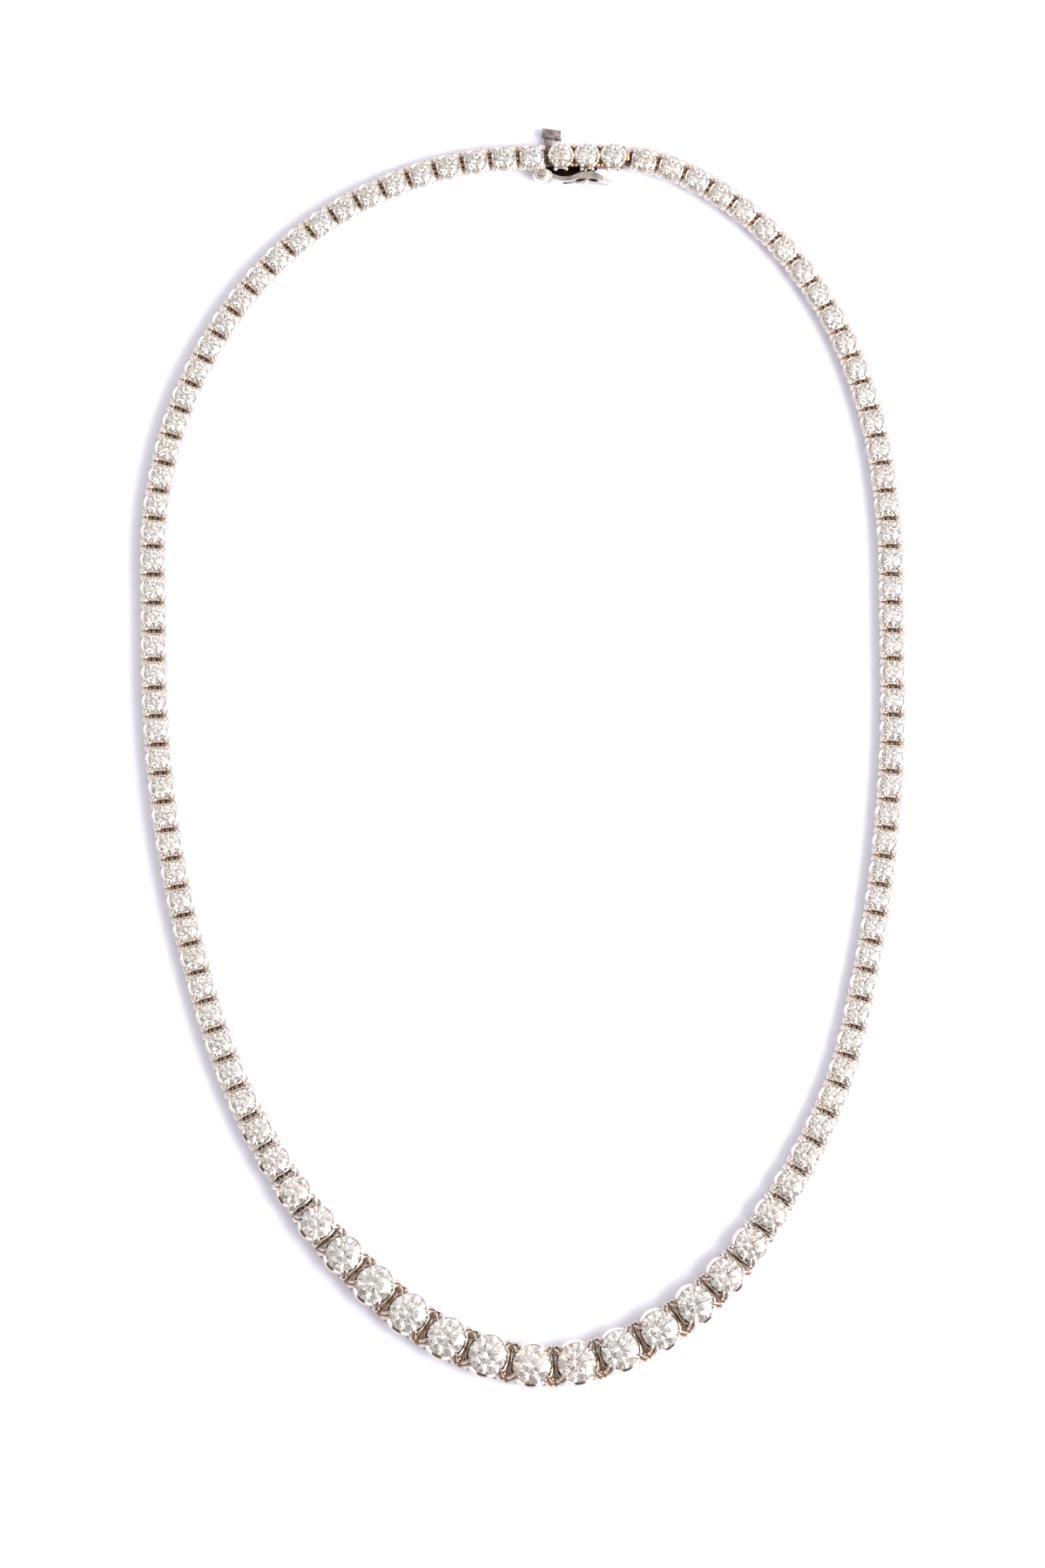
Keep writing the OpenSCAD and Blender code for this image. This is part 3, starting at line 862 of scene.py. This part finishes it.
class NECKLACE_OT_clasp_box(bpy.types.Operator):
    """Makes the clasp box with its three settings, the plates between them and the ball for the catch"""

    bl_idname = "necklace.clasp_box"
    bl_label = "Clasp box"

    def execute(self, context):
        finish = context.scene.necklace_metal
        bm = shaded_mesh()
        # The box is hollow and open towards the tongue, and its lid is open between strips under the heads
        body = bmesh.new()
        block(body, (-BOX_END, -BOX_HALF, 0), (BOX_END, BOX_HALF, BOX_TOP), 0.1)
        mouth = max(body.faces, key=lambda f: f.calc_center_median().x * (f.calc_area() > 1))
        bmesh.ops.inset_region(body, faces=[mouth], thickness=BOX_WALL)
        deep = bmesh.ops.extrude_face_region(body, geom=[mouth])["geom"]
        bmesh.ops.delete(body, geom=[mouth], context="FACES_ONLY")
        bottom = [v for v in deep if isinstance(v, bmesh.types.BMVert)]
        bmesh.ops.translate(body, vec=(-BOX_DEPTH, 0, 0), verts=bottom)
        bmesh.ops.delete(body, geom=[f for f in body.faces if f.normal.z > 0.9 and f.calc_area() > 3], context="FACES")
        for x in (-BOX_END + 0.4, -CLASP_PITCH / 2, CLASP_PITCH / 2, BOX_END - 0.4):
            block(body, (x - 0.5, 0.1 - BOX_HALF, BOX_TOP - 0.15), (x + 0.5, BOX_HALF - 0.1, BOX_TOP), 0.03)
        take(bm, body)
        girdle = girdle_height(CLASP.d, CLASP.culet)
        for seat in SEATS[BOX_FROM:]:
            add_clasp_head(bm, along_box(seat), seat.d, girdle)
        add_fork(bm, BOX_END - 0.2, SEATS[BOX_FROM].behind - Vector((CLASP_PITCH, 0)))
        post = bmesh.new()
        rod(post, (BALL.x, (BOX_HALF + BALL.y) / 2 - 0.05, BALL.z), (0, 1, 0), 0.2, BALL.y - BOX_HALF + 0.1)
        bead(post, BALL, 0.38, 16)
        take(bm, post)
        face_out(bm)
        # Painted shade: its lid's edges, its side on the catch's side and the ball's post get dark gold for the deep
        # shadow between box and catch, but not under the heads
        layer = bm.verts.layers.float["painted_shade"]
        for v in bm.verts:
            under = min((v.co.xy - Vector((x, 0))).length for x in (-CLASP_PITCH, 0, CLASP_PITCH)) < 1.4
            body = v.co.z < BOX_TOP + 0.02 and v.co.y < BOX_HALF + 0.2
            post = BOX_HALF < v.co.y < BALL.y - 0.5 and abs(v.co.x - BALL.x) < 0.3
            top = v.co.y > 0 or v.co.z > BOX_TOP - 0.04
            v[layer] = max(v[layer], 0.15, 1.75 if post or body and top and not under else 0)
        finish_on_clasp("box_and_heads", bm, [gold()], ["clasp_box"])
        # A dark plate that paints the shadow between box and catch, and fills the catch's window with dark
        shadow_plate = bmesh.new()
        stations = []
        for i in range(SHADOW_PLATE_STEPS):
            x = SHADOW_PLATE_FROM + SHADOW_PLATE_STEP * i
            far = min(1.6 + 0.6 * (x - SHADOW_PLATE_FROM), wave(HINGE.x - x, 1), 2.2 + 2 * (BOX_END - x))
            half = (far - BOX_HALF + 0.2) / 2
            stations.append(flat_station((x, BOX_HALF - 0.2 + half, 0.15), half, 0.13))
        carry(shadow_plate, [Vector((0, y, z)) for y, z in ((-1, -1), (-1, 1), (0.94, 1), (1, 0.6), (1, -1))], stations)
        face_out(shadow_plate)
        finish_on_clasp("painted_shadow_plate", shadow_plate, [plain_gold("painted_shadow_gold", [c * 0.6 for c in finish.dark], 0.5)])
        plates = bmesh.new()
        for x, half, top in ((-BOX_END - 0.35, 0.65, 0.45), (-CLASP_PITCH / 2, 0.4, 0.4), (CLASP_PITCH / 2, 0.4, 0.4)):
            block(plates, (x - 0.3, -half, BOX_TOP - 0.1), (x + 0.3, half, BOX_TOP + top), 0.08)
        for x in (-CLASP_PITCH / 2, CLASP_PITCH / 2):
            for side, step in ((1, 0.28), (1, -0.28), (-1, 0)):
                bead(plates, (x + step, side * 1.28, BOX_TOP + 0.3), 0.26)
        finish_on_clasp("plates_between_heads", plates, [plain_gold("rosy_gold", finish.rosy, 0.3)])
        return {"FINISHED"}


class NECKLACE_OT_clasp_tongue(bpy.types.Operator):
    """Makes the last setting with the folded tongue, the thumb tab and the hinge of the safety catch"""

    bl_idname = "necklace.clasp_tongue"
    bl_label = "Clasp tongue"

    def execute(self, context):
        seat = SEATS[0]
        bm = shaded_mesh()
        add_at(bm, link_mesh(seat, SIDE_STEPS, fork=False), seat_place(seat))
        part = bmesh.new()
        foot_x = along_box(seat)
        for z, end in zip(LEAVES, (foot_x - foot_radius(seat.d) + 0.25, BOX_END + 0.8)):
            block(part, (0.8, -LEAF_HALF, z), (CLASP_PITCH - 1, LEAF_HALF, z + LEAF), 0.03)
            for side in (-1, 1):
                block(part, (CLASP_PITCH - 1.1, side * SLOT_HALF, z),
                      (BOX_END - 0.2, side * LEAF_HALF, z + LEAF), 0.03)
            block(part, (BOX_END - 0.25, -LEAF_HALF, z), (end, LEAF_HALF, z + LEAF), 0.03)
        block(part, (0.8, -LEAF_HALF, LEAVES[0]), (0.95, LEAF_HALF, LEAVES[1] + LEAF), 0.03)
        block(part, (BOX_END + 0.2, -1.3, LEAVES[1]), (BOX_END + 0.8, -0.5, 0.87), 0.08)
        # Painted shade: dark gold on the leaves where they come out of the box, polished gold inside it
        shade = part.verts.layers.float.new("painted_shade")
        for v in part.verts:
            v[shade] = 1.8 if v.co.x > BOX_END - 0.3 and v.co.x != BOX_END - 0.2 else 0.15
        # The foot, the pin and the arm of the safety catch's hinge
        rod(part, (HINGE.x, HINGE.y, 0.165), (0, 0, 1), 0.6, 0.33, 20, 0.05)
        rod(part, (HINGE.x, HINGE.y, 1.05), (0, 0, 1), 0.3, 2.0, 16)
        arm = bmesh.new()
        block(arm, (0, -0.4, 0), (2, 0.4, 0.33), 0.05)
        add_at(part, arm, Matrix.Translation(HINGE)
               @ Matrix.Rotation(math.atan2(-HINGE.y, foot_x - HINGE.x), 4, "Z"))
        face_out(part)
        add_at(bm, part, seat_place(CLASP))
        finish_piece("tongue_and_setting", bm, [gold()], METAL_BODY, ["clasp_tongue"])
        tab = bmesh.new()
        middle = Vector((BOX_END - 0.4, -3.2, 0.87))
        lean = Matrix.Rotation(math.radians(-8), 4, "Z") @ Matrix.Rotation(math.radians(14), 4, "X")
        size = Vector((1.3, 0.7, 0.21))
        block(tab, middle - size, middle + size, 0.12, lean)
        block(tab, (BOX_END - 0.45, -2.9, 0.57), (BOX_END + 0.6, -1.25, 0.87), 0.12)
        block(tab, (BOX_END - 1.8, -2.75, 0.5), (BOX_END - 0.9, -2.3, 0.72), 0.06)
        tone = toned(context.scene.necklace_metal.brushed, (0.86, 0.8, 0.88))
        finish_on_clasp("thumb_tab_head", tab, [plain_gold("worn_gold", tone, 0.34, 1500, depth=0.00006, shade=0.35)])
        head = bmesh.new()
        rod(head, (0, 0, CATCH_HIGH + 0.2), (0, 0, 1), 0.62, 0.2, 24, 0.06)
        bmesh.ops.scale(head, vec=(1.15, 1, 1), verts=head.verts)
        bmesh.ops.translate(head, vec=HINGE, verts=head.verts)
        finish_on_clasp("head_of_the_catch_pin", head, [brushed_gold()])
        return {"FINISHED"}


def wave(u, column):
    """The smooth value of a column of the catch's table at a distance from the hinge."""
    rows = CATCH_WAVE
    i = max(1, min(len(rows) - 1, next((k for k, row in enumerate(rows) if row[0] > u), len(rows) - 1)))
    before, low, high, after = rows[max(i - 2, 0)], rows[i - 1], rows[i], rows[min(i + 1, len(rows) - 1)]
    share = max(0, min(1, (u - low[0]) / (high[0] - low[0])))
    rise = high[column] - low[column]
    start = (high[column] - before[column]) / (high[0] - before[0]) * (high[0] - low[0])
    end = (after[column] - low[column]) / (after[0] - low[0]) * (high[0] - low[0])
    return (low[column] + share * start + share ** 2 * (3 * rise - 2 * start - end)
            + share ** 3 * (start + end - 2 * rise))


class NECKLACE_OT_safety_catch(bpy.types.Operator):
    """Makes the figure-of-eight safety catch with its barrel"""

    bl_idname = "necklace.safety_catch"
    bl_label = "Safety catch"

    def execute(self, context):
        middle = (CATCH_LOW + CATCH_HIGH) / 2
        thick = 0.2
        first, last = CATCH_WAVE[0][0], CATCH_WAVE[-1][0]
        bm = shaded_mesh()
        outline = [Vector((0, y, z)) for y, z in ((-1, -0.6), (-1, 0.5), (-0.8, 1), (0.8, 1), (1, 0.5), (1, -0.6),
                                                  (0.8, -1), (-0.8, -1))]
        steps = 36
        for low in (False, True):
            stations = []
            for i in range(steps + 1):
                u = first + (last - first) * i / steps
                p = Vector((HINGE.x - u, wave(u, 3 if low else 1), CATCH_LOW + thick if low else CATCH_HIGH - thick))
                wide = 0.16 if low else wave(u, 2)
                stations.append(flat_station(p, wide, thick))
            carry(bm, outline, stations)
        # Two dark lips under the outer edge of the upper strand: painted shade for the shadow under that edge
        for start, end in ((4.7, 5.9), (6.5, 7.8)):
            stations = []
            for i in range(7):
                u = start + (end - start) * i / 6
                p = Vector((HINGE.x - u, wave(u, 1) + wave(u, 2) + 0.02, CATCH_HIGH - 0.75))
                stations.append(flat_station(p, 0.05 + 0.16 * math.sin(math.pi * i / 6), 0.12))
            add_shaded(bm, 2, carry, outline, stations)
        # The joins of the two strands, and the barrel at the hinge
        for u, long in ((2.2, 0.9), (last - 0.15, 0.32)):
            join = bmesh.new()
            high_y, low_y = wave(u, 1), wave(u, 3)
            block(join, (HINGE.x - u - long, -0.26, -0.62), (HINGE.x - u + long, 0.26, 0.62), 0.14)
            for v in join.verts:
                v.co.y += (high_y + low_y) / 2 + (high_y - low_y) * v.co.z / 1.24
                v.co.z += middle
            take(bm, join)
        bulb = bmesh.new()
        revolve(bulb, [(0.4, CATCH_LOW), (0.78, CATCH_LOW), (0.95, CATCH_LOW + 0.2), (1, middle),
                       (0.97, CATCH_HIGH - 0.4), (0.86, CATCH_HIGH - 0.14), (0.66, CATCH_HIGH), (0.4, CATCH_HIGH)],
                36, closed=True)
        for v in bulb.verts:
            away = v.co.xy.length
            v.co.x *= 1 + (0.2 if v.co.x > 0 else 0.62) * max(0, away - 0.4) / 0.6
        add_at(bm, bulb, Matrix.Translation(HINGE))
        face_out(bm)
        for f in bm.faces:
            centre = f.calc_center_median()
            top = f.normal.z > 0.9 and centre.z > middle + 0.2 and HINGE.x - 8.4 < centre.x < HINGE.x - 1.5
            f.material_index = 1 if top else 0
        finish_on_clasp("figure_of_eight_catch", bm, [gold(), brushed_gold()], ["safety_catch"], CATCH_BODY)
        return {"FINISHED"}


# Stage

# The point of the floor that the camera looks at, and how far it leans from straight above
LOOK_AT = Vector((-0.15, -4.88, 0)) * MM
LEAN_DOWN = math.radians(8)
LEAN_LEFT = math.radians(4)
IMAGE_HIGH = 1800
SENSOR = 36
FLOOR_HALF = 1.5
# Just under the necklace, so that the two never share a face
FLOOR_DROP = 0.00002
LAMP_AT = (0.80, -0.22, 0.54)
LAMP_SIZE = 0.9
# How fine the sky's brighter and dimmer panels are
SKY_PANELS = 7.0
# Changes of the sky's light: a direction, how far a direction faces it at the start and end of the change (1 is
# straight at it), and the light's share there. The camera's patch is dark, and the side of the lamp is bright
SKY_CHANGES = (((-math.sin(LEAN_LEFT), -math.sin(LEAN_DOWN), 0.99), 0.955, 0.985, 1, 0.5),
               ((0.78, 0.5, 0.37), -0.7, 0.9, 0.6, 1.3))


def sky(stage):
    """Soft light from all sides, with brighter and dimmer panels, and a dark patch above the camera."""
    world = bpy.context.scene.world or bpy.data.worlds.new("studio")
    bpy.context.scene.world = world
    world.use_nodes = True
    tree = world.node_tree
    where = add_node(tree, "TexCoord", "Generated", {})
    light = add_range(tree, add_noise(tree, where, SKY_PANELS, 3.0), 0.3, 1.55, 0.33, 0.67)
    for direction, low, high, at_low, at_high in SKY_CHANGES:
        facing = add_node(tree, "VectorMath", "Value", {0: where, 1: direction}, operation="DOT_PRODUCT")
        light = add_math(tree, "MULTIPLY", light, add_range(tree, facing, at_low, at_high, low, high))
    tint = add_fade(tree, add_noise(tree, where, SKY_PANELS), toned(stage.sky, (1.04, 0.975, 0.985)),
                    toned(stage.sky, (0.985, 1.0, 0.985)), 0.4, 0.6)
    strength = add_math(tree, "MULTIPLY", light, stage.fill)
    set_inputs(tree, tree.nodes["Background"], {"Color": tint, "Strength": strength})


def add_lamp(name, at, size, power, colour):
    """A round lamp that faces the point at which the camera looks."""
    data = bpy.data.lights.new(name, "AREA")
    data.shape = "DISK"
    data.size = size
    data.energy = power
    data.color = colour
    lamp = bpy.data.objects.new(name, data)
    lamp.location = at
    lamp.rotation_euler = (LOOK_AT - Vector(at)).to_track_quat("-Z", "Y").to_euler()
    bpy.context.scene.collection.objects.link(lamp)


class NECKLACE_OT_stage(bpy.types.Operator):
    """Lays the pale floor, sets the lights and the camera"""

    bl_idname = "necklace.stage"
    bl_label = "Stage"

    def execute(self, context):
        scene = context.scene
        stage = scene.necklace_stage
        scene.view_settings.view_transform = "Standard"
        bm = bmesh.new()
        bmesh.ops.create_grid(bm, x_segments=1, y_segments=1, size=FLOOR_HALF,
                              matrix=Matrix.Translation((0, 0, -FLOOR_DROP)))
        mesh = bpy.data.meshes.new("floor")
        bm.to_mesh(mesh)
        bm.free()
        floor = bpy.data.objects.new("floor", mesh)
        scene.collection.objects.link(floor)
        material, tree, shader, where = new_material("pale_floor")
        grain = add_mix(tree, add_noise(tree, where, FLOOR_GRAIN, 3), stage.floor, [c * 0.985 for c in stage.floor])
        set_inputs(tree, shader, {"Base Color": grain, "Roughness": 0.8, "Specular IOR Level": 0.1,
                                  "Emission Color": (0.95, 0.93, 1.0, 1), "Emission Strength": 0.12})
        mesh.materials.append(material)
        sky(stage)
        add_lamp("lamp_right", LAMP_AT, LAMP_SIZE, stage.lamp, (1.0, 0.97, 0.93))
        data = bpy.data.cameras.new("camera")
        data.sensor_width = SENSOR
        data.lens = stage.distance / stage.pixel * SENSOR / IMAGE_HIGH
        data.clip_start = 0.01
        camera = bpy.data.objects.new("camera", data)
        back = Vector((-math.sin(LEAN_LEFT), -math.sin(LEAN_DOWN), 0))
        back.z = math.sqrt(1 - back.length_squared)
        up = (Vector((0, 1, 0)) - back.y * back).normalized()
        turn = Matrix((up.cross(back), up, back)).transposed().to_4x4()
        camera.matrix_world = Matrix.Translation(LOOK_AT + back * stage.distance) @ turn
        scene.collection.objects.link(camera)
        scene.camera = camera
        return {"FINISHED"}


class NECKLACE_PT_panel(bpy.types.Panel):
    """Lists the steps that make the necklace"""

    bl_idname = "NECKLACE_PT_panel"
    bl_label = "Diamond line necklace"
    bl_space_type = "VIEW_3D"
    bl_region_type = "UI"
    bl_category = "Necklace"

    def draw(self, context):
        for step in STEPS:
            self.layout.operator(step.bl_idname)
        for group in (context.scene.necklace_stones, context.scene.necklace_metal, context.scene.necklace_stage):
            box = self.layout.box()
            for name in group.__annotations__:
                box.prop(group, name)


STEPS = (NECKLACE_OT_front_settings, NECKLACE_OT_side_settings, NECKLACE_OT_stones, NECKLACE_OT_clasp_box,
         NECKLACE_OT_clasp_tongue, NECKLACE_OT_safety_catch, NECKLACE_OT_stage)
CLASSES = (StoneSizes, MetalFinish, StageSettings, *STEPS, NECKLACE_PT_panel)


def register():
    for c in CLASSES:
        bpy.utils.register_class(c)
    bpy.types.Scene.necklace_stones = PointerProperty(type=StoneSizes)
    bpy.types.Scene.necklace_metal = PointerProperty(type=MetalFinish)
    bpy.types.Scene.necklace_stage = PointerProperty(type=StageSettings)


def unregister():
    del bpy.types.Scene.necklace_stage
    del bpy.types.Scene.necklace_metal
    del bpy.types.Scene.necklace_stones
    for c in reversed(CLASSES):
        bpy.utils.unregister_class(c)


def main():
    register()
    for step in (bpy.ops.necklace.front_settings, bpy.ops.necklace.side_settings, bpy.ops.necklace.stones,
                 bpy.ops.necklace.clasp_box, bpy.ops.necklace.clasp_tongue, bpy.ops.necklace.safety_catch,
                 bpy.ops.necklace.stage):
        step()


if __name__ == "__main__":
    main()
